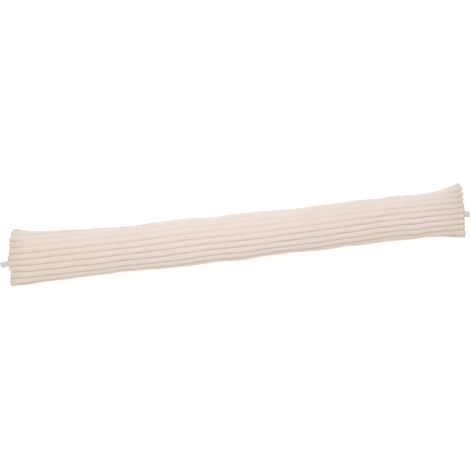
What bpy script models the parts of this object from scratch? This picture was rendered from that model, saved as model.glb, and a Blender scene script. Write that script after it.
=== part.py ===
"""Draught excluder: a long filled tube of wide-ribbed plush, lying on its back.

X runs along the tube, Y across it and Z up. The origin is on the floor, under the middle
of the one underside rib that lies on Y = 0 at mid length. All sizes are in metres.
"""

import math
from collections import namedtuple

import bmesh
import bpy
import numpy as np

# Cover: one ribbed panel wrapped into a tube and sewn shut across both ends
RIB_COUNT = 19
LEFT_EDGE_X = -0.4500
RIGHT_EDGE_X = 0.4550
SLANT_LENGTH = 0.070
# Moves the whole tube across, so that an underside rib's flat crown is centred on the origin
ORIGIN_SHIFT_Y = 0.0048
# Height of the widest level, as a part of the thickness: the weight presses the lower half flatter
WIDEST_LEVEL = 0.46
PRESSED_SQUARENESS = 0.75
SCALLOP = 0.0013
SCALLOP_LENGTH = 0.0045

# Where the sections stand. No section stands at X = 0, so the flat under the origin is one face
END_INSETS = (0.0, 0.0010, 0.0038, 0.0078, 0.0105, 0.0155, 0.0220, 0.0300, 0.0400, 0.0530, 0.0700)
BODY_SECTIONS = 30

# One rib across: how far along the rib's width a point lies, and how deep below the crown
RibPoint = namedtuple("RibPoint", "phase drop")
RIB_PROFILE = (
    RibPoint(0.00, 1.00),
    RibPoint(0.14, 0.40),
    RibPoint(0.36, 0.00),
    RibPoint(0.64, 0.00),
    RibPoint(0.86, 0.40),
)

# Outline seen from above. groove is where the top groove nearest the middle lies, from the middle:
# it drifts, because the tube is rolled a little along its length. crowding narrows the top ribs
Outline = namedtuple("Outline", "along middle width groove crowding")
OUTLINE = (
    Outline(-0.456, 0.0034, 0.1118, -0.0048, 0.000),
    Outline(-0.442, 0.0035, 0.1116, -0.0048, 0.000),
    Outline(-0.432, 0.0032, 0.1108, -0.0049, 0.000),
    Outline(-0.422, 0.0021, 0.1095, -0.0049, 0.000),
    Outline(-0.409, 0.0011, 0.1061, -0.0049, 0.000),
    Outline(-0.399, 0.0003, 0.1041, -0.0048, 0.000),
    Outline(-0.389, -0.0001, 0.1020, -0.0047, 0.000),
    Outline(-0.374, -0.0006, 0.1001, -0.0045, 0.000),
    Outline(-0.344, -0.0013, 0.0977, -0.0040, -0.005),
    Outline(-0.314, -0.0020, 0.0953, -0.0034, -0.010),
    Outline(-0.274, -0.0029, 0.0924, -0.0025, -0.010),
    Outline(-0.234, -0.0033, 0.0897, -0.0017, -0.010),
    Outline(-0.194, -0.0039, 0.0897, -0.0008, -0.010),
    Outline(-0.155, -0.0036, 0.0929, 0.0001, -0.010),
    Outline(-0.115, -0.0032, 0.0940, 0.0011, -0.010),
    Outline(-0.075, -0.0032, 0.0921, 0.0020, -0.010),
    Outline(-0.035, -0.0033, 0.0909, 0.0020, -0.010),
    Outline(0.005, -0.0032, 0.0926, 0.0016, -0.010),
    Outline(0.045, -0.0021, 0.0898, 0.0010, -0.010),
    Outline(0.085, -0.0016, 0.0883, 0.0021, -0.010),
    Outline(0.125, -0.0021, 0.0875, 0.0033, -0.010),
    Outline(0.165, -0.0014, 0.0897, 0.0038, -0.010),
    Outline(0.204, -0.0003, 0.0881, 0.0043, -0.010),
    Outline(0.244, 0.0003, 0.0898, 0.0053, -0.010),
    Outline(0.284, 0.0008, 0.0877, 0.0059, -0.010),
    Outline(0.324, 0.0014, 0.0894, 0.0059, -0.015),
    Outline(0.354, 0.0001, 0.0887, 0.0059, -0.020),
    Outline(0.374, 0.0009, 0.0875, 0.0058, -0.020),
    Outline(0.394, 0.0011, 0.0894, 0.0056, -0.030),
    Outline(0.408, 0.0015, 0.0927, 0.0055, -0.040),
    Outline(0.420, 0.0018, 0.0980, 0.0055, -0.052),
    Outline(0.430, 0.0023, 0.1021, 0.0056, -0.062),
    Outline(0.440, 0.0031, 0.1064, 0.0057, -0.070),
    Outline(0.448, 0.0039, 0.1096, 0.0058, -0.074),
    Outline(0.458, 0.0042, 0.1102, 0.0059, -0.075),
)

# Side view, from an end edge inwards: the pressed flange, its stitch line, then the swelling tube
Profile = namedtuple("Profile", "inset crown underside squareness depth")
LEFT_PROFILE = (
    Profile(0.0000, 0.0154, 0.0130, 8.0, 0.0004),
    Profile(0.0010, 0.0165, 0.0119, 8.0, 0.0010),
    Profile(0.0038, 0.0171, 0.0113, 8.0, 0.0015),
    Profile(0.0078, 0.0159, 0.0125, 8.0, 0.0009),
    Profile(0.0105, 0.0181, 0.0105, 4.0, 0.0016),
    Profile(0.0160, 0.0216, 0.0078, 2.5, 0.0021),
    Profile(0.0280, 0.0272, 0.0046, 2.1, 0.0025),
    Profile(0.0400, 0.0316, 0.0026, 2.0, 0.0026),
    Profile(0.0560, 0.0366, 0.0010, 2.0, 0.0026),
    Profile(0.0760, 0.0412, 0.0000, 2.0, 0.0026),
    Profile(0.1060, 0.0465, -0.0006, 2.1, 0.0026),
    Profile(0.1360, 0.0500, -0.0008, 2.1, 0.0026),
    Profile(0.1760, 0.0530, -0.0008, 2.1, 0.0026),
    Profile(0.2200, 0.0545, -0.0008, 2.1, 0.0026),
    Profile(0.4600, 0.0545, -0.0008, 2.1, 0.0026),
)
RIGHT_PROFILE = (
    Profile(0.0000, 0.0192, 0.0168, 8.0, 0.0004),
    Profile(0.0010, 0.0203, 0.0157, 8.0, 0.0010),
    Profile(0.0038, 0.0209, 0.0151, 8.0, 0.0015),
    Profile(0.0078, 0.0197, 0.0163, 8.0, 0.0009),
    Profile(0.0105, 0.0220, 0.0142, 4.0, 0.0016),
    Profile(0.0160, 0.0272, 0.0108, 2.5, 0.0021),
    Profile(0.0220, 0.0322, 0.0080, 2.1, 0.0024),
    Profile(0.0300, 0.0378, 0.0050, 2.0, 0.0026),
    Profile(0.0400, 0.0438, 0.0023, 2.0, 0.0026),
    Profile(0.0550, 0.0500, 0.0004, 2.0, 0.0026),
    Profile(0.0750, 0.0538, -0.0006, 2.1, 0.0026),
    Profile(0.1000, 0.0548, -0.0008, 2.1, 0.0026),
    Profile(0.4600, 0.0545, -0.0008, 2.1, 0.0026),
)

# How far each end edge lies from its reference line, along X, from the lower corner up to the upper one
EdgePoint = namedtuple("EdgePoint", "across left right")
EDGE_POINTS = (
    EdgePoint(-0.056, -0.0032, -0.0036),
    EdgePoint(-0.047, -0.0030, -0.0030),
    EdgePoint(-0.040, -0.0028, -0.0027),
    EdgePoint(-0.032, -0.0012, -0.0024),
    EdgePoint(-0.024, -0.0003, -0.0024),
    EdgePoint(-0.015, -0.0018, -0.0015),
    EdgePoint(-0.005, -0.0036, 0.0002),
    EdgePoint(0.004, -0.0031, 0.0012),
    EdgePoint(0.012, -0.0009, 0.0014),
    EdgePoint(0.020, 0.0015, 0.0010),
    EdgePoint(0.028, 0.0021, 0.0012),
    EdgePoint(0.035, 0.0026, 0.0022),
    EdgePoint(0.043, 0.0050, 0.0020),
    EdgePoint(0.051, 0.0074, 0.0008),
    EdgePoint(0.058, 0.0110, -0.0003),
)

# Blank woven tabs: a ribbon folded once, its two ends sewn into an end seam
Tab = namedtuple("Tab", "name root_across root_height width length turn droop skew facing")
TABS = (
    Tab("left_tab", -0.0070, 0.0142, 0.0105, 0.0150, math.radians(12.0), 0.0035, 0.0018, -1),
    Tab("right_tab", -0.0046, 0.0180, 0.0118, 0.0112, math.radians(-6.0), 0.0020, -0.0010, 1),
)
RIBBON = 0.0010
RIBBON_GAP = 0.0005
SEAT_GAP = 0.0003
TAB_STEPS = 6
TAB_FOLD_STEPS = 6
TAB_ACROSS_STEPS = 4
TAB_CUP = 0.0005

COVER_COLOUR = (0.84, 0.74, 0.67, 1.0)
RIBBON_COLOUR = (0.60, 0.60, 0.58, 1.0)

SECTION_SAMPLES = 1440
SAMPLE_STEP = 0.0008


def clear_scene():
    for thing in list(bpy.data.objects):
        bpy.data.objects.remove(thing, do_unlink=True)


def fabric_material(name, colour):
    material = bpy.data.materials.new(name)
    material.use_nodes = True
    shader = material.node_tree.nodes["Principled BSDF"]
    shader.inputs["Base Color"].default_value = colour
    shader.inputs["Roughness"].default_value = 0.9
    shader.inputs["Metallic"].default_value = 0.0
    return material


def table_slopes(keys, values):
    """A slope for each row that keeps the curve between its neighbours, with no overshoot."""
    secants = np.diff(values) / np.diff(keys)
    slopes = np.empty(len(values))
    slopes[0], slopes[-1] = secants[0], secants[-1]
    for row in range(1, len(values) - 1):
        before, after = secants[row - 1], secants[row]
        slopes[row] = 2 * before * after / (before + after) if before * after > 0 else 0.0
    return slopes


def read_table(rows, key, column, at):
    """A smooth curve through one column of a table, read at one place."""
    keys = np.array([getattr(row, key) for row in rows])
    values = np.array([getattr(row, column) for row in rows])
    slopes = table_slopes(keys, values)
    at = min(max(at, keys[0]), keys[-1])
    left = min(int(np.searchsorted(keys, at, side="right")) - 1, len(keys) - 2)
    span = keys[left + 1] - keys[left]
    t = (at - keys[left]) / span
    start_value = values[left] * (1 + 2 * t) * (1 - t) ** 2
    start_slope = slopes[left] * span * t * (1 - t) ** 2
    end_value = values[left + 1] * t * t * (3 - 2 * t)
    end_slope = slopes[left + 1] * span * t * t * (t - 1)
    return start_value + start_slope + end_value + end_slope


def fade(distance, reach):
    """1 at no distance, easing to 0 at the reach."""
    t = min(max(distance / reach, 0.0), 1.0)
    return 1 - t * t * (3 - 2 * t)


def along_at(along, across):
    """X of a section's point: a section near an end follows that end's slanted edge."""
    left = fade(along - LEFT_EDGE_X, SLANT_LENGTH)
    right = fade(RIGHT_EDGE_X - along, SLANT_LENGTH)
    slant = left * read_table(EDGE_POINTS, "across", "left", across)
    slant += right * read_table(EDGE_POINTS, "across", "right", across)
    return along + slant


def outline_edge(along, side):
    """Y of the outline on one side, +1 or -1, for the section that stands at along."""
    across = side * 0.5 * read_table(OUTLINE, "along", "width", along)
    place = along_at(along, across)
    middle = read_table(OUTLINE, "along", "middle", place)
    return middle + side * 0.5 * read_table(OUTLINE, "along", "width", place)


def profile_at(along):
    """The side view's values at a section, from the nearer end's table."""
    if along < 0:
        rows, inset = LEFT_PROFILE, along - LEFT_EDGE_X
    else:
        rows, inset = RIGHT_PROFILE, RIGHT_EDGE_X - along
    return Profile(inset, *[read_table(rows, "inset", name, inset) for name in Profile._fields[1:]])


def power(value, exponent):
    return math.copysign(abs(value) ** exponent, value)


def smooth_section(half_width, profile):
    """The rib-less outline of one section, from the top middle round by +Y, as Y and Z."""
    widest = profile.underside + WIDEST_LEVEL * (profile.crown - profile.underside)
    points = []
    for sample in range(SECTION_SAMPLES):
        angle = math.tau * sample / SECTION_SAMPLES
        upper = math.cos(angle) > 0
        squareness = profile.squareness if upper else profile.squareness + PRESSED_SQUARENESS
        height = profile.crown - widest if upper else widest - profile.underside
        y = half_width * power(math.sin(angle), 2 / squareness)
        z = widest + height * power(math.cos(angle), 2 / squareness)
        points.append((y, z))
    return np.array(points + points[:1])


def rib_fractions(outline_row, perimeter):
    """Where each point of the ribs lies round the section, as a part of its perimeter."""
    fractions = []
    for rib in range(RIB_COUNT):
        for point in RIB_PROFILE:
            turn = (rib + point.phase) / RIB_COUNT + outline_row.groove / perimeter
            crowd = outline_row.crowding * math.sin(math.tau * turn) / math.tau
            fractions.append((turn + crowd) % 1.0)
    return fractions


def cover_ring(along):
    """The points of one ribbed section."""
    row = Outline(along, *[read_table(OUTLINE, "along", name, along) for name in Outline._fields[1:]])
    profile = profile_at(along)
    upper, lower = outline_edge(along, 1), outline_edge(along, -1)
    middle = 0.5 * (upper + lower)
    section = smooth_section(0.5 * (upper - lower), profile)
    steps = np.linalg.norm(np.diff(section, axis=0), axis=1)
    lengths = np.concatenate([[0.0], np.cumsum(steps)])
    perimeter = lengths[-1]

    def place(distance):
        distance %= perimeter
        return np.array([np.interp(distance, lengths, section[:, axis]) for axis in (0, 1)])

    edge_gap = min(along - LEFT_EDGE_X, RIGHT_EDGE_X - along)
    outward = math.copysign(1.0, along)
    ring = []
    for index, fraction in enumerate(rib_fractions(row, perimeter)):
        drop = RIB_PROFILE[index % len(RIB_PROFILE)].drop
        distance = fraction * perimeter
        tangent = place(distance + SAMPLE_STEP) - place(distance - SAMPLE_STEP)
        inward = np.array([-tangent[1], tangent[0]]) / -np.linalg.norm(tangent)
        y, z = place(distance) + inward * profile.depth * drop
        x = along_at(along, y + middle) - outward * SCALLOP * drop * fade(edge_gap, SCALLOP_LENGTH)
        ring.append((x, y + middle + ORIGIN_SHIFT_Y, max(z, 0.0)))
    return ring


def section_places():
    """X of every section, from the left edge to the right edge."""
    left = [LEFT_EDGE_X + inset for inset in END_INSETS]
    right = [RIGHT_EDGE_X - inset for inset in reversed(END_INSETS)]
    body = np.linspace(left[-1], right[0], BODY_SECTIONS + 2)[1:-1]
    return left + list(body) + right


def widest_point(ring):
    return max(range(len(ring)), key=lambda index: ring[index][1])


def zip_cap(mesh, ring, start):
    """Close a ring with a strip of faces that runs across it, from the edge before point start."""
    count = len(ring)
    for step in range((count - 1) // 2):
        places = (start + step, start + step + 1, start - 2 - step, start - 1 - step)
        corners = list(dict.fromkeys(ring[place % count] for place in places))
        mesh.faces.new(corners)


def loft(name, rings, starts, material):
    """Join rings of equally many points into one closed object, with a zipped cap at each end."""
    mesh = bmesh.new()
    loops = [[mesh.verts.new(point) for point in ring] for ring in rings]
    for one, other in zip(loops, loops[1:]):
        for index in range(len(one)):
            following = (index + 1) % len(one)
            mesh.faces.new((one[index], one[following], other[following], other[index]))
    zip_cap(mesh, loops[0], starts[0])
    zip_cap(mesh, loops[-1], starts[1])
    bmesh.ops.recalc_face_normals(mesh, faces=mesh.faces)
    data = bpy.data.meshes.new(name)
    mesh.to_mesh(data)
    mesh.free()
    data.materials.append(material)
    data.shade_smooth()
    data.set_sharp_from_angle(angle=math.radians(50))
    thing = bpy.data.objects.new(name, data)
    bpy.context.scene.collection.objects.link(thing)
    return thing


def build_cover(material):
    rings = [cover_ring(along) for along in section_places()]
    starts = (widest_point(rings[0]), widest_point(rings[-1]))
    loft("cover", rings, starts, material)


def folded_outline(length):
    """The ribbon seen from its side: out along the top, round the fold, back along the bottom."""
    inner = RIBBON_GAP / 2
    outer = inner + RIBBON
    run = length - outer
    out = [run * step / TAB_STEPS for step in range(TAB_STEPS)]
    turns = [math.pi * (0.5 - step / TAB_FOLD_STEPS) for step in range(TAB_FOLD_STEPS + 1)]

    def face(radius):
        top = [(reach, radius) for reach in out]
        fold = [(run + radius * math.cos(turn), radius * math.sin(turn)) for turn in turns]
        bottom = [(reach, -radius) for reach in reversed(out)]
        return top + fold + bottom

    return face(outer) + list(reversed(face(inner)))


def build_tab(tab, material):
    """One folded ribbon, its open end following the end seam's edge, turned and drooping a little."""
    edge_x = LEFT_EDGE_X if tab.facing < 0 else RIGHT_EDGE_X
    side = "left" if tab.facing < 0 else "right"
    middle_x = edge_x + read_table(EDGE_POINTS, "across", side, tab.root_across)
    rings = []
    for step in range(TAB_ACROSS_STEPS + 1):
        across = step / TAB_ACROSS_STEPS - 0.5
        root_across = tab.root_across + across * tab.width
        root_x = edge_x + read_table(EDGE_POINTS, "across", side, root_across)
        ring = []
        for reach, height in folded_outline(tab.length):
            part = reach / tab.length
            forward = reach + tab.skew * across * 2 * part
            sideways = forward * math.sin(tab.turn) * tab.facing
            droop = tab.droop * part * part + TAB_CUP * (2 * across) ** 2 * part
            x = root_x + (middle_x - root_x) * part
            x += tab.facing * (SEAT_GAP + forward * math.cos(tab.turn))
            y = root_across + sideways + ORIGIN_SHIFT_Y
            ring.append((x, y, tab.root_height + height - droop))
        rings.append(ring)
    loft(tab.name, rings, (0, 0), material)


clear_scene()
build_cover(fabric_material("ribbed_plush", COVER_COLOUR))
ribbon_material = fabric_material("woven_ribbon", RIBBON_COLOUR)
for tab in TABS:
    build_tab(tab, ribbon_material)
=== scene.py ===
"""Looks of the draught excluder: plush cover, end stitching, folded ribbon tabs, floor, light, camera.

Everything is in metres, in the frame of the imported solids: X runs along the tube, Y across it, Z up.
The cover is one cloth panel, its ribs along the tube, rolled up and sewn flat across both ends.
"""

import math
from collections import namedtuple

import bmesh
import bpy
import numpy as np
from mathutils import Matrix, Vector


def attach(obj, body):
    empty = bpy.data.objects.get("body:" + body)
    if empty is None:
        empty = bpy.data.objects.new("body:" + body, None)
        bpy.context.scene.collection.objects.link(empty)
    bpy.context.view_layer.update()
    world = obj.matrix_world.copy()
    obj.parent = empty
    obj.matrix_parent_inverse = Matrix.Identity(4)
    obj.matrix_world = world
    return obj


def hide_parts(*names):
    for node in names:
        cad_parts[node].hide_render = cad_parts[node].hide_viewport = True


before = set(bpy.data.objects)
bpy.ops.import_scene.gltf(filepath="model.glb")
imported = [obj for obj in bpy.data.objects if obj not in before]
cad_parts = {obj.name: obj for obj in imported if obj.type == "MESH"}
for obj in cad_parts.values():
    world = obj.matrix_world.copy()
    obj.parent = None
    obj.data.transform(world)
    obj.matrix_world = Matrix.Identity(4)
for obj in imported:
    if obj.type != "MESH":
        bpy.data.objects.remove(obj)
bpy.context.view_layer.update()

# Cover: the sizes of the solid that it replaces
RIB_COUNT = 19
LEFT_EDGE_X = -0.4500
RIGHT_EDGE_X = 0.4550
SLANT_LENGTH = 0.070
ORIGIN_SHIFT_Y = 0.0048
WIDEST_LEVEL = 0.46
PRESSED_SQUARENESS = 0.75

# End flanges: two layers with notched edges, blunted corners and a stitch line
LEFT_SCALLOP = 0.0016
RIGHT_SCALLOP = 0.0044
UNDER_LAYER_SHORTER = 0.0012
CORNER_REACH = 0.0070
CORNER_CUT = 0.0018
FLANGE_LENGTH = 0.010
FLANGE_EASE = 0.012
LAYERS_APART = 0.10
SCALLOP_LENGTH = 0.0110
SCALLOP_VARIATION = 0.35
SCALLOP_LEVEL = 0.3
LIP_TIP = 0.0015
STITCH_INSET = 0.0078

# Grid of the panel: columns stand along the tube, closer together at its ends, and rows follow the ribs
POINTS_A_RIB = 12
END_STEP = 0.0007
BODY_STEP = 0.0022
STEP_GROWTH = 1.045
SECTION_SAMPLES = 720
SAMPLE_STEP = 0.0008

# Filling: a coarse copy of the panel, simulated under pressure between its two sewn ends
SIM_POINTS_A_RIB = 3
SIM_END_STEP = 0.0020
SIM_STEP = 0.0055
SIM_FRAMES = 20
SIM_CLOTH = {
    "quality": 6,
    "mass": 0.25,
    "tension_stiffness": 25,
    "compression_stiffness": 12,
    "shear_stiffness": 8,
    "bending_stiffness": 0.4,
    "use_pressure": True,
    "uniform_pressure_force": 4.0,
    "vertex_group_mass": "sewn",
}
SIM_SHRINK = 0.0030
SIM_SHRINK_EASE = 0.03
SIM_CAP = 0.0100
SIM_SWELLING_PASSES = 60
SIM_SHARE = 0.55
PINNED_INSET = 0.0085

# Ribs: a round crown and a tight groove, each a share of the depth
ROUND_SHARE = 0.72
TIGHT_SHARE = 0.28
TIGHT_POWER = 8
FULL_DEPTH = 0.0031
FULL_DEPTH_EASE = 0.002

# Small uneven places in hand-filled, machine-sewn cloth. twist is how many times a wave may wind round it
Wave = namedtuple("Wave", "seed shortest longest twist count")
WANDER_WAVES = Wave(3, 0.05, 0.22, 5, 9)
DEPTH_WAVES = Wave(5, 0.03, 0.12, 9, 9)
LUMP_WAVES = Wave(7, 0.035, 0.110, 6, 14)
SMALL_LUMP_WAVES = Wave(11, 0.009, 0.022, 30, 20)
SCALLOP_WAVES = Wave(13, 1.0, 2.0, 9, 9)
GROOVE_WANDER = 0.00035
DEPTH_VARIATION = 0.12
LUMP_HEIGHT = 0.00040
SMALL_LUMP_HEIGHT = 0.00010
BODY_EASE = 0.02
PUCKER = 0.00025
PUCKER_REACH = 0.0022
STITCH_PITCH = 0.0036

# Ribs on the far side that the filling stretches flatter, over more of them at the right of the middle.
# A turn is a share of the way round the tube, from the groove nearest the middle of the top
STRETCHED_TURN = 0.14
STRETCHED_REACH = 0.055
STRETCHED_WIDER = 0.100
STRETCHED_MIDDLE = 0.11
STRETCHED_LENGTH = 0.21
STRETCHED_FLATTER = 0.68
STRETCHED_EASE = 0.03

# The outermost groove on the far side, counted from the same one, fades out near both ends
FAINT_GROOVE = 4
FAINT_REACH = 0.5
FAINT_LENGTH = 0.08
FAINT_FLATTER = 0.55

# Outline seen from above. groove is where the top groove nearest the middle lies, from the middle
Outline = namedtuple("Outline", "along middle width groove crowding")
OUTLINE = (
    Outline(-0.456, 0.0034, 0.1118, -0.0048, 0.000),
    Outline(-0.442, 0.0035, 0.1116, -0.0048, 0.000),
    Outline(-0.432, 0.0032, 0.1108, -0.0049, 0.000),
    Outline(-0.422, 0.0021, 0.1095, -0.0049, 0.000),
    Outline(-0.409, 0.0011, 0.1061, -0.0049, 0.000),
    Outline(-0.399, 0.0003, 0.1041, -0.0048, 0.000),
    Outline(-0.389, -0.0001, 0.1020, -0.0047, 0.000),
    Outline(-0.374, -0.0006, 0.1001, -0.0045, 0.000),
    Outline(-0.344, -0.0013, 0.0977, -0.0040, -0.005),
    Outline(-0.314, -0.0020, 0.0953, -0.0034, -0.010),
    Outline(-0.274, -0.0029, 0.0924, -0.0025, -0.010),
    Outline(-0.234, -0.0033, 0.0897, -0.0017, -0.010),
    Outline(-0.194, -0.0039, 0.0897, -0.0008, -0.010),
    Outline(-0.155, -0.0036, 0.0929, 0.0001, -0.010),
    Outline(-0.115, -0.0032, 0.0940, 0.0011, -0.015),
    Outline(-0.075, -0.0032, 0.0921, 0.0020, -0.025),
    Outline(-0.035, -0.0033, 0.0909, 0.0020, -0.035),
    Outline(0.005, -0.0032, 0.0926, 0.0016, -0.040),
    Outline(0.045, -0.0021, 0.0898, 0.0010, -0.035),
    Outline(0.085, -0.0016, 0.0883, 0.0021, -0.030),
    Outline(0.125, -0.0021, 0.0875, 0.0033, -0.027),
    Outline(0.165, -0.0014, 0.0897, 0.0038, -0.025),
    Outline(0.204, -0.0003, 0.0881, 0.0043, -0.028),
    Outline(0.244, 0.0003, 0.0898, 0.0053, -0.045),
    Outline(0.284, 0.0008, 0.0877, 0.0059, -0.067),
    Outline(0.324, 0.0014, 0.0894, 0.0059, -0.085),
    Outline(0.354, 0.0001, 0.0887, 0.0059, -0.085),
    Outline(0.374, 0.0009, 0.0875, 0.0058, -0.080),
    Outline(0.394, 0.0011, 0.0894, 0.0056, -0.075),
    Outline(0.408, 0.0015, 0.0927, 0.0055, -0.072),
    Outline(0.420, 0.0018, 0.0980, 0.0055, -0.070),
    Outline(0.430, 0.0023, 0.1021, 0.0056, -0.070),
    Outline(0.440, 0.0031, 0.1064, 0.0057, -0.072),
    Outline(0.448, 0.0039, 0.1096, 0.0058, -0.074),
    Outline(0.458, 0.0042, 0.1102, 0.0059, -0.075),
)

# Side view from each end edge inwards: the pressed flange, its stitch line, then the swelling tube
Profile = namedtuple("Profile", "inset crown underside squareness depth")
LEFT_PROFILE = (
    Profile(0.0000, 0.0154, 0.0130, 8.0, 0.0010),
    Profile(0.0010, 0.0165, 0.0119, 8.0, 0.0020),
    Profile(0.0038, 0.0171, 0.0113, 8.0, 0.0025),
    Profile(0.0078, 0.0167, 0.0117, 7.0, 0.0022),
    Profile(0.0105, 0.0181, 0.0105, 4.0, 0.0025),
    Profile(0.0160, 0.0216, 0.0078, 2.5, 0.0028),
    Profile(0.0280, 0.0272, 0.0046, 2.1, 0.0029),
    Profile(0.0400, 0.0316, 0.0026, 2.0, 0.0031),
    Profile(0.0560, 0.0366, 0.0010, 2.0, 0.0031),
    Profile(0.0760, 0.0412, 0.0000, 2.0, 0.0031),
    Profile(0.1060, 0.0465, -0.0006, 2.1, 0.0031),
    Profile(0.1360, 0.0500, -0.0008, 2.1, 0.0031),
    Profile(0.1760, 0.0530, -0.0008, 2.1, 0.0031),
    Profile(0.2200, 0.0545, -0.0008, 2.1, 0.0031),
    Profile(0.4600, 0.0545, -0.0008, 2.1, 0.0031),
)
RIGHT_PROFILE = (
    Profile(0.0000, 0.0192, 0.0168, 8.0, 0.0010),
    Profile(0.0010, 0.0203, 0.0157, 8.0, 0.0020),
    Profile(0.0038, 0.0209, 0.0151, 8.0, 0.0026),
    Profile(0.0078, 0.0205, 0.0155, 7.0, 0.0023),
    Profile(0.0105, 0.0220, 0.0142, 4.0, 0.0025),
    Profile(0.0160, 0.0272, 0.0108, 2.5, 0.0028),
    Profile(0.0220, 0.0322, 0.0080, 2.1, 0.0028),
    Profile(0.0300, 0.0378, 0.0050, 2.0, 0.0031),
    Profile(0.0400, 0.0438, 0.0023, 2.0, 0.0031),
    Profile(0.0550, 0.0500, 0.0004, 2.0, 0.0031),
    Profile(0.0750, 0.0538, -0.0006, 2.1, 0.0031),
    Profile(0.1000, 0.0548, -0.0008, 2.1, 0.0031),
    Profile(0.4600, 0.0548, -0.0008, 2.1, 0.0031),
)

# The cloth turns in at each end edge: how far in, half its thickness there, and how much narrower
Lip = namedtuple("Lip", "inset half narrower")
LIPS = (
    Lip(0.0008, 0.0002, 0.0007),
    Lip(0.0005, 0.0006, 0.0004),
    Lip(0.0002, 0.0009, 0.0002),
)

# How far each end edge lies from its reference line, along X, from the lower corner up to the upper one
EdgePoint = namedtuple("EdgePoint", "across left right")
EDGE_POINTS = (
    EdgePoint(-0.056, -0.0032, -0.0036),
    EdgePoint(-0.047, -0.0030, -0.0030),
    EdgePoint(-0.040, -0.0028, -0.0027),
    EdgePoint(-0.032, -0.0012, -0.0024),
    EdgePoint(-0.024, -0.0003, -0.0024),
    EdgePoint(-0.015, -0.0018, -0.0015),
    EdgePoint(-0.005, -0.0036, 0.0002),
    EdgePoint(0.004, -0.0031, 0.0012),
    EdgePoint(0.012, -0.0009, 0.0014),
    EdgePoint(0.020, 0.0015, 0.0010),
    EdgePoint(0.028, 0.0021, 0.0012),
    EdgePoint(0.035, 0.0026, 0.0022),
    EdgePoint(0.043, 0.0050, 0.0020),
    EdgePoint(0.051, 0.0074, 0.0008),
    EdgePoint(0.058, 0.0110, -0.0003),
)

# Blank woven tabs: length is what shows, and turned is how far the lower layer is skewed from the upper
Tab = namedtuple("Tab", "name root_across root_height width length turn droop skew turned facing")
TABS = (
    Tab("left_tab", -0.0070, 0.0142, 0.0105, 0.0150, math.radians(12), 0.0035, 0.0018, 0.0010, -1),
    Tab("right_tab", -0.0046, 0.0180, 0.0118, 0.0112, math.radians(-6), 0.0020, -0.0010, 0.0004, 1),
)
RIBBON = 0.0007
LAYER_OFFSET = 0.00075
TAB_CUP = 0.0005
TAB_TUCK = 0.0018
TAB_PINCH = 0.45
TAB_PINCH_LENGTH = 0.0035
TAB_LOWER_REACH = 0.6
TAB_SOFT_EDGE = 0.00015
TAB_COLUMNS = 14
TAB_ROWS = 56
WEAVE_PITCH = 0.0011

# End stitching: one rounded thread, laid between its two holes
THREAD_RADIUS = 0.00027
STITCH_LENGTH = 0.0027
STITCH_LIFT = 0.00015
STITCH_DIP = 2.2
STITCH_NARROWER = 0.45
STITCH_CUT = 0.30
STITCH_MARGIN = 0.0035
TWIST_PITCH = 0.0006

# Where the cloth and the ribbon change tone, painted shade among it: on the plush along the tube or, for
# its sides, across the ribs
Reach = namedtuple("Reach", "start full")
WARM_END = Reach(-0.28, -0.43)
# Painted shade near both seams
SEAM_SHADE = Reach(0.405, 0.452)
# The plush is lighter over the middle of its length
LIGHTER_MIDDLE_CENTRE = -0.02
LIGHTER_MIDDLE = Reach(0.22, 0.08)
# Painted shade: a greyer band along the far side of the tube
FAR_SIDE_SHADE_TURN = 0.265
FAR_SIDE_SHADE = Reach(2.3, 0.5)
# Painted shade: a darker, warmer band along the near side, where the tube turns down to the floor
NEAR_SIDE_SHADE_TURN = 0.735
NEAR_SIDE_SHADE = Reach(2.6, 0.6)
# Darker end edges: the raw cut edge, with painted shade in the notches between the scallops
LEFT_RIM = Reach(LEFT_EDGE_X + 0.0055, LEFT_EDGE_X + 0.0005)
RIGHT_RIM = Reach(RIGHT_EDGE_X - 0.0080, RIGHT_EDGE_X - 0.0010)
# Less painted groove shade over the stretched ribs on the far side, where the light fills the grooves
STRETCHED_TONE = Reach(2.2, 0.4)
STRETCHED_TONE_WIDER = Reach(STRETCHED_LENGTH * 1.6, 0.04)
# Less painted groove shade in the outermost far-side groove, away from the ends
FAINT_TONE = Reach(0.6, 0.3)
FAINT_TONE_LENGTH = Reach(0.375, 0.425)
# Painted shade: how far from a groove the painted groove darkening reaches
GROOVE_SHADE = Reach(0.62, 1.0)
TUFT_TONE = Reach(0.35, 0.72)
SELVEDGE = Reach(0.0044, 0.0050)
WEAVE_TONE = Reach(-0.8, 0.8)

# Fineness of the plush: its nap is drawn out along the tube, and its pile is combed in fine rows
NAP_SCALE = (18.0, 70.0, 70.0)
TUFT_SCALE = 330.0
PILE_SCALE = 1500.0
COMB_PITCH = 0.0014

# Colours
PLUSH_DULL = (0.775, 0.660, 0.592, 1.0)
PLUSH_BRIGHT = (0.830, 0.727, 0.664, 1.0)
PLUSH_TUFT = (0.842, 0.742, 0.679, 1.0)
PLUSH_WARM = (0.800, 0.685, 0.560, 1.0)
# Painted shade near both seams, stronger at the left one
PLUSH_SEAM_SHADE = (0.690, 0.575, 0.500, 1.0)
PLUSH_LIGHTER_MIDDLE = (0.885, 0.785, 0.725, 1.0)
# Painted shade along the far side of the tube
PLUSH_FAR_SIDE_SHADE = (0.780, 0.735, 0.690, 1.0)
# Painted shade along the near side of the tube
PLUSH_NEAR_SIDE_SHADE = (0.700, 0.580, 0.480, 1.0)
# Raw cut edge at both ends, partly painted shade in its notches
PLUSH_RAW_EDGE_AND_SHADE = (0.600, 0.560, 0.500, 1.0)
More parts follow.
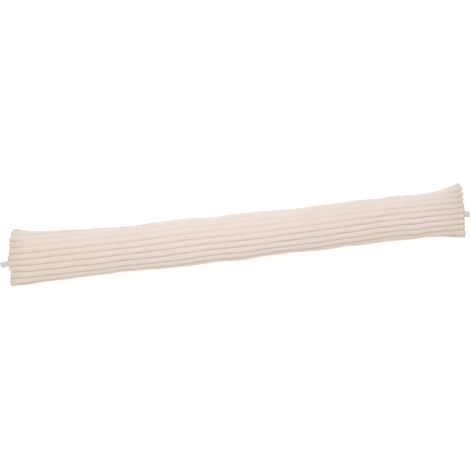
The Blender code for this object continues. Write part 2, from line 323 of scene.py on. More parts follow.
# Painted shade in the grooves between the ribs
PLUSH_GROOVE_SHADE = (0.640, 0.500, 0.415, 1.0)
PLUSH_SHEEN = (1.0, 0.96, 0.92, 1.0)
RIBBON_DARK = (0.55, 0.54, 0.53, 1.0)
RIBBON_LIGHT = (0.79, 0.78, 0.77, 1.0)
RIBBON_WORN = (0.77, 0.76, 0.75, 1.0)
RIBBON_EDGE = (0.52, 0.52, 0.51, 1.0)
THREAD_DARK = (0.70, 0.57, 0.45, 1.0)
THREAD_LIGHT = (0.80, 0.69, 0.57, 1.0)
FLOOR_DULL = (0.93, 0.93, 0.93, 1.0)
FLOOR_BRIGHT = (0.95, 0.95, 0.95, 1.0)
WHITE = (1.0, 1.0, 1.0, 1.0)

# Studio: a large pale floor, a soft surround, and two broad lights that aim at the middle of the tube
FLOOR_SIZE = 14.0
FLOOR_GAP = 0.0003
FLOOR_GLOW = 0.31
SURROUND = 0.732
LIGHT_COLOUR = (1.0, 0.99, 0.98)
Light = namedtuple("Light", "name place size energy")
LIGHTS = (
    Light("window", (-0.35, 1.32, 2.18), (1.8, 0.8), 18.5),
    Light("fill", (0.1, -1.60, 1.90), (2.2, 1.0), 5.0),
)

# Camera that was fitted to the outline of the tube in the photograph
CAMERA_TARGET = Vector((-0.00568, 0.00641, 0.02))
CAMERA_DISTANCE = 2.5
CAMERA_ELEVATION = math.radians(85)
CAMERA_LEAN = 0.06
CAMERA_ROLL = 0.103944
CAMERA_LENS = 96.977
SENSOR_WIDTH = 36.0
CLIP = (0.05, 50.0)


def read_table(rows, key, column, at):
    """A smooth curve through one column of a table, with no overshoot, read at many places."""
    keys = np.array([getattr(row, key) for row in rows])
    values = np.array([getattr(row, column) for row in rows])
    secants = np.diff(values) / np.diff(keys)
    before, after = secants[:-1], secants[1:]
    same_way = before * after > 0
    total = np.where(same_way, before + after, 1.0)
    inner = np.where(same_way, 2 * before * after / total, 0.0)
    slopes = np.concatenate([secants[:1], inner, secants[-1:]])
    at = np.clip(at, keys[0], keys[-1])
    left = np.clip(np.searchsorted(keys, at, side="right") - 1, 0, len(keys) - 2)
    span = keys[left + 1] - keys[left]
    t = (at - keys[left]) / span
    start = values[left] * (1 + 2 * t) * (1 - t) ** 2 + slopes[left] * span * t * (1 - t) ** 2
    end = values[left + 1] * t * t * (3 - 2 * t) + slopes[left + 1] * span * t * t * (t - 1)
    return start + end


def fade(distance, reach):
    """1 at no distance, easing to 0 at the reach."""
    t = np.clip(distance / reach, 0.0, 1.0)
    return 1 - t * t * (3 - 2 * t)


def bell(distance, reach):
    """1 at no distance, falling away smoothly over the reach to either side."""
    return np.exp(-((distance / reach) ** 2))


def waves(along, turn, wave):
    """Uneven but smooth waves over the cloth, about 1 high, that meet where the tube closes."""
    source = np.random.default_rng(wave.seed)
    total = 0.0
    for _ in range(wave.count):
        length = source.uniform(wave.shortest, wave.longest)
        windings = source.integers(-wave.twist, wave.twist + 1)
        shift = source.uniform(0, math.tau)
        total = total + np.sin(math.tau * (along / length + windings * turn) + shift)
    return total / math.sqrt(wave.count)


def along_at(along, across):
    """X of a point: a section near an end follows that end's slanted edge."""
    left = fade(along - LEFT_EDGE_X, SLANT_LENGTH) * read_table(EDGE_POINTS, "across", "left", across)
    right = fade(RIGHT_EDGE_X - along, SLANT_LENGTH) * read_table(EDGE_POINTS, "across", "right", across)
    return along + left + right


def outline_edge(along, side):
    """Y of the outline on one side, +1 or -1."""
    across = side * 0.5 * read_table(OUTLINE, "along", "width", along)
    place = along_at(along, across)
    half = 0.5 * read_table(OUTLINE, "along", "width", place)
    return read_table(OUTLINE, "along", "middle", place) + side * half


def profile_column(name, along):
    left = read_table(LEFT_PROFILE, "inset", name, along - LEFT_EDGE_X)
    right = read_table(RIGHT_PROFILE, "inset", name, RIGHT_EDGE_X - along)
    return np.where(along < 0, left, right)


def end_insets(first_step, body_step):
    """Distances from an end edge inwards to mid length, in steps that grow to the body's step."""
    insets = [0.0]
    step = first_step
    while insets[-1] < 0.5 * (RIGHT_EDGE_X - LEFT_EDGE_X):
        insets.append(insets[-1] + step)
        step = min(step * STEP_GROWTH, body_step)
    return np.array(insets[:-1])


def cover_stations(first_step, body_step):
    """Where the sections stand, with their side view. The first and last ones turn in at the edges."""
    insets = end_insets(first_step, body_step)
    left = LEFT_EDGE_X + insets[LEFT_EDGE_X + insets < -body_step / 2]
    right = RIGHT_EDGE_X - insets[RIGHT_EDGE_X - insets > body_step / 2]
    along = np.concatenate([left, right[::-1]])
    side_view = {name: profile_column(name, along) for name in Profile._fields[1:]}
    for edge, step in ((LEFT_EDGE_X, 1), (RIGHT_EDGE_X, -1)):
        lips = LIPS if step > 0 else LIPS[::-1]
        lip_along = np.array([edge + step * lip.inset for lip in lips])
        halves = np.array([lip.half for lip in lips])
        crown, underside = (profile_column(name, np.array(edge)) for name in ("crown", "underside"))
        middle = 0.5 * (crown + underside)
        extra = {
            "crown": middle + halves,
            "underside": middle - halves,
            "squareness": np.full(len(lips), 8.0),
            "depth": np.zeros(len(lips)),
        }
        order = (lip_along, along) if step > 0 else (along, lip_along)
        along = np.concatenate(order)
        for name, values in extra.items():
            order = (values, side_view[name]) if step > 0 else (side_view[name], values)
            side_view[name] = np.concatenate(order)
    return along, side_view


def power(values, exponent):
    return np.sign(values) * np.abs(values) ** exponent


def smooth_cover(first_step, body_step, points_a_rib):
    """The tube without its ribs: each point of the panel, its way out, and its place on the cloth."""
    along, view = cover_stations(first_step, body_step)
    upper_edge, lower_edge = outline_edge(along, 1), outline_edge(along, -1)
    middle = 0.5 * (upper_edge + lower_edge)
    half = 0.5 * (upper_edge - lower_edge)
    groove = read_table(OUTLINE, "along", "groove", along)
    crowding = read_table(OUTLINE, "along", "crowding", along)
    angle = np.linspace(0, math.tau, SECTION_SAMPLES + 1)
    upper = np.cos(angle) > 0
    turn = np.arange(RIB_COUNT * points_a_rib + 1) / (RIB_COUNT * points_a_rib)
    points = np.empty((len(along), len(turn), 3))
    outward = np.zeros((len(along), len(turn), 3))
    for index, place in enumerate(along):
        crown, underside = view["crown"][index], view["underside"][index]
        widest = underside + WIDEST_LEVEL * (crown - underside)
        exponent = 2 / (view["squareness"][index] + np.where(upper, 0.0, PRESSED_SQUARENESS))
        y = half[index] * power(np.sin(angle), exponent)
        z = widest + np.where(upper, crown - widest, widest - underside) * power(np.cos(angle), exponent)
        lengths = np.concatenate([[0.0], np.cumsum(np.hypot(np.diff(y), np.diff(z)))])
        girth = lengths[-1]
        at_full_depth = fade(FULL_DEPTH - view["depth"][index], FULL_DEPTH_EASE)
        wander = GROOVE_WANDER * waves(place, turn, WANDER_WAVES) * at_full_depth
        around = turn + (groove[index] + wander) / girth
        around = around + crowding[index] * np.sin(math.tau * around) / math.tau

        def at(distance):
            distance = np.mod(distance, girth)
            return np.interp(distance, lengths, y), np.interp(distance, lengths, z)

        across, height = at(around * girth)
        next_y, next_z = at(around * girth + SAMPLE_STEP)
        last_y, last_z = at(around * girth - SAMPLE_STEP)
        run_y, run_z = next_y - last_y, next_z - last_z
        size = np.hypot(run_y, run_z)
        points[index] = np.column_stack([np.full(len(turn), place), across + middle[index], height])
        outward[index, :, 1], outward[index, :, 2] = -run_z / size, run_y / size
    return along, view, turn, points, outward


def rib_beside(turn):
    """0 on a rib's crown, 1 in the groove beside it."""
    return np.abs(2 * np.mod(turn * RIB_COUNT, 1.0) - 1)


def rib_drop(turn):
    """How deep below its crown a rib is, from 0 to 1: round on top, with a tight groove."""
    beside = rib_beside(turn)
    return ROUND_SHARE * beside**2 + TIGHT_SHARE * beside**TIGHT_POWER


def edge_gap(along):
    return np.minimum(along - LEFT_EDGE_X, RIGHT_EDGE_X - along)


def build_panel(name, points, along, turn):
    """Roll a flat cloth panel up into the given points, join it along its length and close its ends."""
    columns, rows = points.shape[0] - 1, points.shape[1] - 1
    bpy.ops.object.select_all(action="DESELECT")
    bpy.ops.mesh.primitive_grid_add(x_subdivisions=columns, y_subdivisions=rows, size=1.0)
    panel = bpy.context.object
    panel.name = name
    panel.data.name = name
    data = panel.data
    flat = np.empty(len(data.vertices) * 3)
    data.vertices.foreach_get("co", flat)
    flat = flat.reshape(-1, 3)
    column = np.rint((flat[:, 0] + 0.5) * columns).astype(int)
    row = np.rint((flat[:, 1] + 0.5) * rows).astype(int)
    data.vertices.foreach_set("co", points[column, row].ravel())
    corner = np.empty(len(data.loops), dtype=int)
    data.loops.foreach_get("vertex_index", corner)
    cloth = np.column_stack([along[column[corner]], turn[row[corner]] * RIB_COUNT])
    data.uv_layers.active.name = "cloth"
    data.uv_layers.active.data.foreach_set("uv", cloth.ravel())
    place = data.attributes.new("place", "INT", "POINT")
    place.data.foreach_set("value", column * rows + row % rows)

    mesh = bmesh.new()
    mesh.from_mesh(data)
    bmesh.ops.remove_doubles(mesh, verts=mesh.verts, dist=1e-7)
    key = mesh.verts.layers.int["place"]
    by_place = {vertex[key]: vertex for vertex in mesh.verts}
    for end in (0, columns):
        start = int(np.argmax(points[end, :rows, 1]))
        ring = [by_place[end * rows + number] for number in range(rows)]
        for step in range((rows - 1) // 2):
            places = (start + step, start + step + 1, start - 2 - step, start - 1 - step)
            corners = list(dict.fromkeys(ring[place % rows] for place in places))
            mesh.faces.new(corners)
    bmesh.ops.recalc_face_normals(mesh, faces=mesh.faces)
    mesh.to_mesh(data)
    mesh.free()
    data.shade_smooth()
    return panel


def smoothed(values, passes, wraps):
    """Average a grid with its neighbours, along the tube and then round it."""
    for _ in range(passes):
        ends = np.concatenate([values[:1], values, values[-1:]])
        values = 0.25 * ends[:-2] + 0.5 * ends[1:-1] + 0.25 * ends[2:]
        if wraps:
            values = 0.25 * np.roll(values, 1, 1) + 0.5 * values + 0.25 * np.roll(values, -1, 1)
    return values


def filling_relief(along, turn):
    """How far the filling pushes the cloth out, uneven as it is, from a cloth simulation of the tube."""
    sim_along, _, sim_turn, start, outward = smooth_cover(SIM_END_STEP, SIM_STEP, SIM_POINTS_A_RIB)
    shrink = SIM_SHRINK * (1 - fade(edge_gap(sim_along), SIM_SHRINK_EASE))
    start = start - outward * shrink[:, None, None]
    start[:, :, 0] = along_at(start[:, :, 0], start[:, :, 1])
    tube = build_panel("filling_trial", start, sim_along, sim_turn)
    places = np.empty(len(tube.data.vertices), dtype=int)
    tube.data.attributes["place"].data.foreach_get("value", places)
    rows = start.shape[1] - 1
    sewn = tube.vertex_groups.new(name="sewn")
    gaps = edge_gap(sim_along)[places // rows]
    sewn.add([int(number) for number in np.nonzero(gaps < PINNED_INSET)[0]], 1.0, "REPLACE")

    cloth = tube.modifiers.new("filling", "CLOTH")
    for setting, value in SIM_CLOTH.items():
        setattr(cloth.settings, setting, value)
    cloth.settings.effector_weights.gravity = 0
    cloth.collision_settings.use_collision = False
    cloth.point_cache.frame_start = 1
    cloth.point_cache.frame_end = SIM_FRAMES
    for number in range(1, SIM_FRAMES + 1):
        bpy.context.scene.frame_set(number)
    bpy.context.view_layer.objects.active = tube
    bpy.ops.object.modifier_apply(modifier="filling")
    filled = np.empty(len(places) * 3)
    tube.data.vertices.foreach_get("co", filled)
    moved = np.zeros((len(sim_along) * rows, 3))
    moved[places] = filled.reshape(-1, 3)
    moved = moved.reshape(len(sim_along), rows, 3) - start[:, :rows]
    bpy.data.objects.remove(tube, do_unlink=True)
    bpy.context.scene.frame_set(1)

    push = np.sum(moved * outward[:, :rows], axis=2)
    push = np.clip(push, -SIM_CAP, SIM_CAP)
    local = push - smoothed(push, SIM_SWELLING_PASSES, False)
    local = smoothed(local, 1, True) * SIM_SHARE
    inside = slice(len(LIPS), len(sim_along) - len(LIPS))
    by_row = np.array([np.interp(along, sim_along[inside], local[inside, row]) for row in range(rows)])
    by_row = np.concatenate([by_row, by_row[:1]])
    relief = np.array([np.interp(turn, sim_turn, column) for column in by_row.T])
    return relief


def tuck_in_lips(points, view, upper_edge, lower_edge):
    """The rows past each end edge turn in: they repeat the edge's own row, flatter and narrower."""
    for step in (1, -1):
        rows = list(range(len(LIPS))) if step > 0 else list(range(-1, -len(LIPS) - 1, -1))
        edge = len(LIPS) if step > 0 else -len(LIPS) - 1
        crown, underside = view["crown"][edge], view["underside"][edge]
        seam_height, edge_half = 0.5 * (crown + underside), 0.5 * (crown - underside)
        centre = 0.5 * (upper_edge[edge, 0] + lower_edge[edge, 0])
        half_width = 0.5 * (upper_edge[edge, 0] - lower_edge[edge, 0])
        beside = points[edge, :, 1] - centre
        at_tip = 1 - np.clip((half_width - np.abs(beside)) / LIP_TIP, 0.0, 1.0)
        for row, lip in zip(rows, LIPS):
            points[row, :, 0] = points[edge, :, 0] + step * lip.inset
            points[row, :, 1] = points[edge, :, 1] - np.sign(beside) * at_tip * lip.narrower
            points[row, :, 2] = seam_height + (points[edge, :, 2] - seam_height) * lip.half / edge_half


def sculpt_cover():
    """Points of the finished cover: the filled tube with its ribs, uneven places and sewn ends."""
    along, view, turn, points, outward = smooth_cover(END_STEP, BODY_STEP, POINTS_A_RIB)
    gap = edge_gap(along)[:, None]
    station = along[:, None]
    body = 1 - fade(gap - STITCH_INSET, BODY_EASE)
    flange = fade(gap - FLANGE_LENGTH, FLANGE_EASE)
    uneven = DEPTH_VARIATION * (1 - flange) * waves(station, turn, DEPTH_WAVES)
    depth = view["depth"][:, None] * (1 + uneven)
    reach = STRETCHED_REACH + STRETCHED_WIDER * bell(station - STRETCHED_MIDDLE, STRETCHED_LENGTH)
    stretched = bell(turn - STRETCHED_TURN, reach) * (1 - fade(gap, STRETCHED_EASE))
    faint = bell(turn * RIB_COUNT - FAINT_GROOVE, FAINT_REACH) * fade(gap, FAINT_LENGTH)
    relief = -depth * (1 - STRETCHED_FLATTER * stretched - FAINT_FLATTER * faint) * rib_drop(turn)
    relief = relief + LUMP_HEIGHT * body * waves(station, turn, LUMP_WAVES)
    relief = relief + SMALL_LUMP_HEIGHT * body * waves(station, turn, SMALL_LUMP_WAVES)
    relief = relief + filling_relief(along, turn)
    across = points[:, :, 1]
    puckers = np.cos(math.tau * across / STITCH_PITCH)
    relief = relief + PUCKER * bell(gap - STITCH_INSET, PUCKER_REACH) * puckers
    upper_edge, lower_edge = outline_edge(along, 1)[:, None], outline_edge(along, -1)[:, None]
    from_corner = np.clip(np.minimum(upper_edge - across, across - lower_edge) / CORNER_REACH, 0.0, 1.0)
    relief = relief * (1 - flange * (1 - from_corner))
    points = points + relief[:, :, None] * outward
    seam_height = 0.5 * (view["crown"] + view["underside"])[:, None]
    apart = LAYERS_APART * 0.5 * (view["crown"] - view["underside"])[:, None]
    above = np.maximum(points[:, :, 2], seam_height + apart)
    below = np.minimum(points[:, :, 2], seam_height - apart)
    layered = np.where(outward[:, :, 2] > 0, above, below)
    points[:, :, 2] = np.where(gap < FLANGE_LENGTH, layered, points[:, :, 2])
    facing = np.where(along < 0, -1.0, 1.0)[:, None]
    notch = rib_beside(turn) ** 2 - SCALLOP_LEVEL
    notch = notch * (1 + SCALLOP_VARIATION * waves(0.0, turn, SCALLOP_WAVES))
    scallop = np.where(station < 0, LEFT_SCALLOP, RIGHT_SCALLOP) * notch * from_corner
    shorter = UNDER_LAYER_SHORTER * 0.5 * (1 - outward[:, :, 2]) + CORNER_CUT * (1 - from_corner) ** 2
    drawn_in = (scallop + shorter) * fade(gap, SCALLOP_LENGTH)
    points[:, :, 0] = along_at(points[:, :, 0], points[:, :, 1]) - facing * drawn_in
    tuck_in_lips(points, view, upper_edge, lower_edge)
    points[:, :, 1] += ORIGIN_SHIFT_Y
    points[:, :, 2] = np.maximum(points[:, :, 2], 0.0)
    points[:, -1] = points[:, 0]
    return along, turn, points


class Value:
    """A number in a material that can be worked with as in plain Python."""

    def __init__(self, finish, socket):
        self.finish = finish
        self.socket = socket

    def maths(self, operation, *others):
        values = [self] + list(others)
        sockets = {number: value for number, value in enumerate(values)}
        return self.finish.node("ShaderNodeMath", {"operation": operation}, sockets)

    def __add__(self, other):
        return self.maths("ADD", other)

    __radd__ = __add__

    def __mul__(self, other):
        return self.maths("MULTIPLY", other)

    __rmul__ = __mul__

    def __sub__(self, other):
        return self.maths("SUBTRACT", other)

    def __rsub__(self, other):
        return (self * -1.0) + other

    def sine(self):
        return self.maths("SINE")

    def part(self):
        return self.maths("FRACT")

    def size(self):
        return self.maths("ABSOLUTE")


class Finish:
    """One material, built node by node round a single surface shader."""

    def __init__(self, name, constants):
        self.material = bpy.data.materials.new(name)
        self.material.use_nodes = True
        self.tree = self.material.node_tree
        self.shader = self.tree.nodes["Principled BSDF"]
        for socket, value in constants.items():
            self.shader.inputs[socket].default_value = value

    def node(self, kind, settings, sockets, output=None):
        """Add a node, make its settings, then fill its sockets with values or links."""
        made = self.tree.nodes.new(kind)
        for name, value in settings.items():
            setattr(made, name, value)
        usable = [socket for socket in made.inputs if socket.enabled]
        for name, value in sockets.items():
            target = usable[name] if isinstance(name, int) else next(s for s in usable if s.name == name)
            if isinstance(value, Value):
                self.tree.links.new(value.socket, target)
            else:
                target.default_value = value
        outputs = [socket for socket in made.outputs if socket.enabled]
        found = outputs[0] if output is None else next(s for s in outputs if s.name == output)
        return Value(self, found)

    def noise(self, place, scale, detail=2.0, roughness=0.55):
        sockets = {"Vector": place, "Scale": scale, "Detail": detail, "Roughness": roughness}
        return self.node("ShaderNodeTexNoise", {}, sockets, "Fac")

    def stretched(self, place, scale):
        return self.node("ShaderNodeMapping", {}, {"Vector": place, "Scale": scale})

    def blend(self, factor, first, second):
        settings = {"data_type": "RGBA"}
        return self.node("ShaderNodeMix", settings, {"Factor": factor, "A": first, "B": second})

    def within(self, value, reach):
        """0 up to the reach's start, easing to 1 where it is full. Full may be below the start."""
        settings = {"interpolation_type": "SMOOTHSTEP"}
        sockets = {"Value": value, "From Min": reach.start, "From Max": reach.full}
        return self.node("ShaderNodeMapRange", settings, sockets, "Result")

    def bump(self, height, distance, strength=1.0, under=None):
        sockets = {"Strength": strength, "Distance": distance, "Height": height}
        if under is not None:
            sockets["Normal"] = under
        return self.node("ShaderNodeBump", {}, sockets)

    def feed(self, socket, value):
        self.tree.links.new(value.socket, self.shader.inputs[socket])


def plush_finish():
    """Short-pile cream plush: soft sheen, painted shade in the grooves and at both seams, painted shade on
    the near and far sides, a darker raw edge at both ends with painted shade in its notches, uneven nap and
    fine pile.
    """
    plush = Finish(
        "ribbed_plush",
        {
            "Metallic": 0.0,
            "Specular IOR Level": 0.18,
            "Sheen Weight": 0.12,
            "Sheen Roughness": 0.45,
            "Sheen Tint": PLUSH_SHEEN,
        },
    )
    place = plush.node("ShaderNodeTexCoord", {}, {}, "Object")
    cloth = plush.node("ShaderNodeUVMap", {"uv_map": "cloth"}, {})
    along = plush.node("ShaderNodeSeparateXYZ", {}, {"Vector": cloth}, "X")
    ribs = plush.node("ShaderNodeSeparateXYZ", {}, {"Vector": cloth}, "Y")
    beside = (ribs.part() * 2.0 - 1.0).size()
    in_groove = plush.within(beside, GROOVE_SHADE)
    nap = plush.noise(plush.stretched(place, NAP_SCALE), 1.0, 3.0)
    tufts = plush.noise(place, TUFT_SCALE, 3.0, 0.6)
    pile = plush.noise(place, PILE_SCALE, 2.0, 0.6)
    crown = plush.blend(nap, PLUSH_DULL, PLUSH_BRIGHT)
    crown = plush.blend(plush.within(tufts, TUFT_TONE), crown, PLUSH_TUFT)
    crown = plush.blend(plush.within(along, WARM_END) * 0.55, crown, PLUSH_WARM)
    # Painted shade near both seams, on the crowns and deeper in the grooves
    left_seam_shade = plush.within(along * -1.0, SEAM_SHADE)
    right_seam_shade = plush.within(along, SEAM_SHADE)
    crown = plush.blend(left_seam_shade * 0.28 + right_seam_shade * 0.09, crown, PLUSH_SEAM_SHADE)
    # Lighter over the middle of the tube's length
    lighter_middle = plush.within((along - LIGHTER_MIDDLE_CENTRE).size(), LIGHTER_MIDDLE)
    crown = plush.blend(lighter_middle * 0.25, crown, PLUSH_LIGHTER_MIDDLE)
    # Painted shade: a greyer band along the far side of the tube
    far_side_shade = plush.within((ribs - FAR_SIDE_SHADE_TURN * RIB_COUNT).size(), FAR_SIDE_SHADE)
    crown = plush.blend(far_side_shade * 0.45, crown, PLUSH_FAR_SIDE_SHADE)
    # Painted shade: a darker, warmer band along the near side of the tube
    near_side_shade = plush.within((ribs - NEAR_SIDE_SHADE_TURN * RIB_COUNT).size(), NEAR_SIDE_SHADE)
    crown = plush.blend(near_side_shade * 0.35, crown, PLUSH_NEAR_SIDE_SHADE)
    # Darker end edges: the raw cut edge, with painted shade in the notches, also deepening the painted
    # groove shade there
    raw_edge_and_shade = plush.within(along, LEFT_RIM) + plush.within(along, RIGHT_RIM)
    crown = plush.blend(raw_edge_and_shade * (tufts * 0.5 + 0.25), crown, PLUSH_RAW_EDGE_AND_SHADE)
    wider = plush.within((along - STRETCHED_MIDDLE).size(), STRETCHED_TONE_WIDER)
    from_middle = (ribs - STRETCHED_TURN * RIB_COUNT).size() - wider * STRETCHED_WIDER * RIB_COUNT
    # The painted groove shade is weaker over the stretched far-side ribs and in the outermost far-side
    # groove
    stretched = plush.within(from_middle, STRETCHED_TONE) * (1.0 - left_seam_shade - right_seam_shade)
    faint = plush.within((ribs - FAINT_GROOVE).size(), FAINT_TONE)
    faint = faint * plush.within(along.size(), FAINT_TONE_LENGTH)
    # Painted shade: how strongly the grooves are darkened, more at the seams and end edges, less over the
    # stretched far-side ribs
    groove_shade_strength = left_seam_shade * 0.46 + right_seam_shade * 0.30 + raw_edge_and_shade * 0.30 + 0.42 - stretched * 0.34
    shade = plush.blend(in_groove * groove_shade_strength * (1.0 - faint * 0.85), crown, PLUSH_GROOVE_SHADE)
    plush.feed("Base Color", shade)
    plush.feed("Roughness", nap * 0.10 + 0.84)
    combed = (along * (math.tau / COMB_PITCH) + pile * 5.0).sine() * (1.0 - in_groove)
    rough_pile = plush.bump(pile + combed * 0.12, 0.0005, 0.55)
    plush.feed("Normal", plush.bump(tufts, 0.0008, 0.28, rough_pile))
    return plush.material


def ribbon_finish():
    """Plain woven ribbon, light grey, with a firmer edge on both sides and no print."""
    ribbon = Finish(
        "woven_ribbon",
        {
            "Metallic": 0.0,
            "Specular IOR Level": 0.30,
            "Sheen Weight": 0.15,
            "Sheen Roughness": 0.5,
        },
    )
    cloth = ribbon.node("ShaderNodeUVMap", {"uv_map": "ribbon"}, {})
    across = ribbon.node("ShaderNodeSeparateXYZ", {}, {"Vector": cloth}, "X")
    along = ribbon.node("ShaderNodeSeparateXYZ", {}, {"Vector": cloth}, "Y")
    warp = (across * (math.tau / WEAVE_PITCH)).sine()
    weft = (along * (math.tau / WEAVE_PITCH)).sine()
    weave = warp * weft
    place = ribbon.node("ShaderNodeTexCoord", {}, {}, "Object")
    worn = ribbon.noise(place, 420.0, 3.0)
    selvedge = ribbon.within(across.size(), SELVEDGE)
    thread = ribbon.blend(ribbon.within(weave, WEAVE_TONE), RIBBON_DARK, RIBBON_LIGHT)
    tone = ribbon.blend(worn * 0.5, thread, RIBBON_WORN)
    ribbon.feed("Base Color", ribbon.blend(selvedge * 0.35, tone, RIBBON_EDGE))
    ribbon.feed("Roughness", worn * 0.15 + 0.62)
    ribbon.feed("Normal", ribbon.bump(weave + selvedge * 1.2, 0.00018, 0.8))
    return ribbon.material


def thread_finish():
    """Cream sewing thread with its two plies showing as a fine twist."""
    thread = Finish("sewing_thread", {"Metallic": 0.0, "Specular IOR Level": 0.35, "Sheen Weight": 0.2})
    place = thread.node("ShaderNodeTexCoord", {}, {}, "Object")
    uneven = thread.noise(place, 900.0, 2.0)
    across = thread.node("ShaderNodeSeparateXYZ", {}, {"Vector": place}, "Y")
    twist = (across * (math.tau / TWIST_PITCH) + uneven * 2.0).sine()
    thread.feed("Base Color", thread.blend(uneven, THREAD_DARK, THREAD_LIGHT))
    thread.feed("Roughness", uneven * 0.15 + 0.60)
    thread.feed("Normal", thread.bump(twist, 0.00010, 0.7))
    return thread.material


def floor_finish():
    """Plain pale studio floor, lit through so that almost no shadow shows on it."""
    constants = {"Metallic": 0.0, "Specular IOR Level": 0.0, "Emission Strength": FLOOR_GLOW}
    floor = Finish("pale_floor", constants)
    place = floor.node("ShaderNodeTexCoord", {}, {}, "Object")
    uneven = floor.noise(place, 3.0)
    floor.feed("Base Color", floor.blend(uneven, FLOOR_DULL, FLOOR_BRIGHT))
    floor.feed("Roughness", uneven * 0.05 + 0.90)
    floor.shader.inputs["Emission Color"].default_value = WHITE
    return floor.material


def join_pieces(pieces, name):
    bpy.ops.object.select_all(action="DESELECT")
    for piece in pieces:
        piece.select_set(True)
    bpy.context.view_layer.objects.active = pieces[0]
    bpy.ops.object.join()
    pieces[0].name = name
    pieces[0].data.name = name
    return pieces[0]


def model_stitch():
    """One stitch across Y: a short rounded thread, its ends bent down into their holes."""
    bpy.ops.object.select_all(action="DESELECT")
    bpy.ops.mesh.primitive_cylinder_add(vertices=8, radius=THREAD_RADIUS, depth=STITCH_LENGTH)
    stitch = bpy.context.object
    stitch.data.transform(Matrix.Rotation(math.pi / 2, 4, "X"))
    bpy.ops.object.mode_set(mode="EDIT")
    bpy.ops.mesh.select_all(action="SELECT")
    bpy.ops.mesh.bisect(plane_co=(0, 0, 0), plane_no=(0, 1, 0))
    for part in (-STITCH_CUT, STITCH_CUT):
        bpy.ops.mesh.select_all(action="SELECT")
        bpy.ops.mesh.bisect(plane_co=(0, part * STITCH_LENGTH, 0), plane_no=(0, 1, 0))
    bpy.ops.object.mode_set(mode="OBJECT")
    for vertex in stitch.data.vertices:
        part = abs(vertex.co.y) / (0.5 * STITCH_LENGTH)
        narrow = 1 - STITCH_NARROWER * part**4
        vertex.co.x *= narrow
        vertex.co.z = vertex.co.z * narrow + STITCH_LIFT - STITCH_DIP * THREAD_RADIUS * part**2
    stitch.data.shade_smooth()
    return stitch


def build_stitches(name, points, along, facing, material):
    """A row of stitches on the top of an end's flange and a matching row underneath it."""
    pattern = model_stitch()
    inset = along - LEFT_EDGE_X if facing < 0 else RIGHT_EDGE_X - along
    inside = np.arange(len(LIPS), len(along) - len(LIPS))
    column = int(inside[np.argmin(np.abs(inset[inside] - STITCH_INSET))])
    ring = points[column, :-1]
    middle = 0.5 * (ring[:, 2].max() + ring[:, 2].min())
    pieces = []
    for up in (1, -1):
        half = ring[(ring[:, 2] - middle) * up > 0]
        half = half[np.argsort(half[:, 1])]
        low, high = half[0, 1] + STITCH_MARGIN, half[-1, 1] - STITCH_MARGIN
        count = int((high - low) / STITCH_PITCH)
        for number in range(count + 1):
            across = low + (high - low) * number / count
            ends = []
            for step in (-0.5, 0.5):
                y = across + step * STITCH_LENGTH
                x, z = (np.interp(y, half[:, 1], half[:, axis]) for axis in (0, 2))
                ends.append(Vector((x, y, z)))
            run = (ends[1] - ends[0]).normalized()
            out = Vector((0, 0, up))
            out = (out - run * out.dot(run)).normalized()
            side = run.cross(out)
            turn = Matrix((side, run, out)).transposed().to_4x4()
            copy = pattern.copy()
            copy.data = pattern.data.copy()
            copy.data.transform(Matrix.Translation((ends[0] + ends[1]) / 2) @ turn)
            bpy.context.scene.collection.objects.link(copy)
            pieces.append(copy)
    bpy.data.objects.remove(pattern, do_unlink=True)
    row = join_pieces(pieces, name)
    row.data.materials.append(material)
    return row


def folded_place(run, length):
    """Reach, height and lower-layer share of a ribbon folded once, at a distance along its own length."""
    straight = length - LAYER_OFFSET
    turn_length = math.pi * LAYER_OFFSET
    if run < straight:
        return run, LAYER_OFFSET, 0.0
    if run < straight + turn_length:
        angle = (run - straight) / LAYER_OFFSET
        reach = straight + LAYER_OFFSET * math.sin(angle)
        return reach, LAYER_OFFSET * math.cos(angle), angle / math.pi
    return straight - (run - straight - turn_length), -LAYER_OFFSET, 1.0


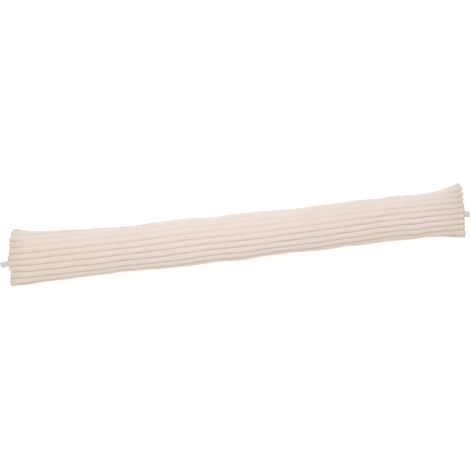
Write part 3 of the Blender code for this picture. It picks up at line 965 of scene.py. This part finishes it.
def build_tab(tab, material):
    """One woven ribbon, folded once, its two ends caught between the lips of the end seam."""
    side = "left" if tab.facing < 0 else "right"
    edge_x = LEFT_EDGE_X if tab.facing < 0 else RIGHT_EDGE_X
    middle_x = edge_x + float(read_table(EDGE_POINTS, "across", side, tab.root_across))
    bpy.ops.object.select_all(action="DESELECT")
    bpy.ops.mesh.primitive_grid_add(x_subdivisions=TAB_COLUMNS, y_subdivisions=TAB_ROWS, size=1.0)
    ribbon = bpy.context.object
    ribbon.name = tab.name + "_ribbon"
    data = ribbon.data
    data.name = ribbon.name
    straight = tab.length - LAYER_OFFSET
    total = 2 * (straight + TAB_TUCK) + math.pi * LAYER_OFFSET
    data.uv_layers.active.name = "ribbon"
    for loop in data.loops:
        spot = data.vertices[loop.vertex_index].co
        data.uv_layers.active.data[loop.index].uv = (spot.x * tab.width, (spot.y + 0.5) * total)
    for vertex in data.vertices:
        across, run = vertex.co.x, (vertex.co.y + 0.5) * total - TAB_TUCK
        reach, height, lower = folded_place(run, tab.length)
        part = reach / tab.length
        shown = max(part, 0.0)
        pinch = 1 - TAB_PINCH * float(fade(max(reach, 0.0), TAB_PINCH_LENGTH))
        forward = reach + tab.skew * across * 2 * shown + TAB_LOWER_REACH * tab.turned * lower * shown
        root_across = tab.root_across + across * tab.width
        root_x = edge_x + float(read_table(EDGE_POINTS, "across", side, root_across))
        sideways = forward * math.sin(tab.turn) * tab.facing + tab.turned * lower * shown
        droop = tab.droop * shown * shown + TAB_CUP * (2 * across) ** 2 * shown
        x = root_x + (middle_x - root_x) * shown + tab.facing * forward * math.cos(tab.turn)
        y = root_across + sideways + ORIGIN_SHIFT_Y
        vertex.co = (x, y, tab.root_height + height * pinch - droop)
    wall = ribbon.modifiers.new("ribbon_thickness", "SOLIDIFY")
    wall.thickness = RIBBON
    wall.offset = 0.0
    bpy.ops.object.modifier_apply(modifier="ribbon_thickness")
    soft_edge = ribbon.modifiers.new("soft_edge", "BEVEL")
    soft_edge.width = TAB_SOFT_EDGE
    soft_edge.segments = 2
    soft_edge.limit_method = "ANGLE"
    soft_edge.angle_limit = math.radians(50)
    bpy.ops.object.modifier_apply(modifier="soft_edge")
    bpy.ops.object.mode_set(mode="EDIT")
    bpy.ops.mesh.select_all(action="SELECT")
    bpy.ops.mesh.normals_make_consistent(inside=False)
    bpy.ops.object.mode_set(mode="OBJECT")
    data.shade_smooth()
    data.materials.append(material)
    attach(ribbon, "root")
    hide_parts(tab.name)
    return ribbon


def build_object():
    along, turn, points = sculpt_cover()
    cover = build_panel("plush_cover", points, along, turn)
    cover.data.materials.append(plush_finish())
    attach(cover, "root")
    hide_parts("cover")
    thread = thread_finish()
    for name, facing in (("left_end_stitches", -1), ("right_end_stitches", 1)):
        stitches = build_stitches(name, points, along, facing, thread)
        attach(stitches, "root")
    ribbon = ribbon_finish()
    for tab in TABS:
        build_tab(tab, ribbon)


def build_floor():
    bpy.ops.object.select_all(action="DESELECT")
    bpy.ops.mesh.primitive_plane_add(size=FLOOR_SIZE, location=(0, 0, -FLOOR_GAP))
    floor = bpy.context.object
    floor.name = "studio_floor"
    floor.data.transform(floor.matrix_world)
    floor.matrix_world = Matrix.Identity(4)
    floor.data.materials.append(floor_finish())


def add_light(light):
    data = bpy.data.lights.new(light.name, "AREA")
    data.shape = "RECTANGLE"
    data.size, data.size_y = light.size
    data.energy = light.energy
    data.color = LIGHT_COLOUR
    lamp = bpy.data.objects.new(light.name, data)
    lamp.location = light.place
    lamp.rotation_mode = "QUATERNION"
    lamp.rotation_quaternion = (-Vector(light.place)).to_track_quat("-Z", "Y")
    bpy.context.scene.collection.objects.link(lamp)


def light_studio():
    scene = bpy.context.scene
    world = bpy.data.worlds.new("soft_studio")
    world.use_nodes = True
    surround = world.node_tree.nodes["Background"]
    surround.inputs["Color"].default_value = WHITE
    surround.inputs["Strength"].default_value = SURROUND
    scene.world = world
    for light in LIGHTS:
        add_light(light)
    scene.view_settings.view_transform = "Standard"
    scene.view_settings.look = "None"
    scene.view_settings.exposure = 0.0
    scene.view_settings.gamma = 1.0


def set_camera():
    lean = Vector((-math.sin(CAMERA_LEAN), -math.cos(CAMERA_ELEVATION), math.sin(CAMERA_ELEVATION)))
    back = lean.normalized()
    level = (Vector((1, 0, 0)) - back * back.x).normalized()
    upright = back.cross(level)
    right = level * math.cos(CAMERA_ROLL) - upright * math.sin(CAMERA_ROLL)
    up = level * math.sin(CAMERA_ROLL) + upright * math.cos(CAMERA_ROLL)
    data = bpy.data.cameras.new("camera")
    data.sensor_width = SENSOR_WIDTH
    data.lens = CAMERA_LENS
    data.clip_start, data.clip_end = CLIP
    camera = bpy.data.objects.new("camera", data)
    matrix = Matrix((right, up, back)).transposed().to_4x4()
    matrix.translation = CAMERA_TARGET + back * CAMERA_DISTANCE
    camera.matrix_world = matrix
    bpy.context.scene.collection.objects.link(camera)
    bpy.context.scene.camera = camera


build_object()
build_floor()
light_studio()
set_camera()
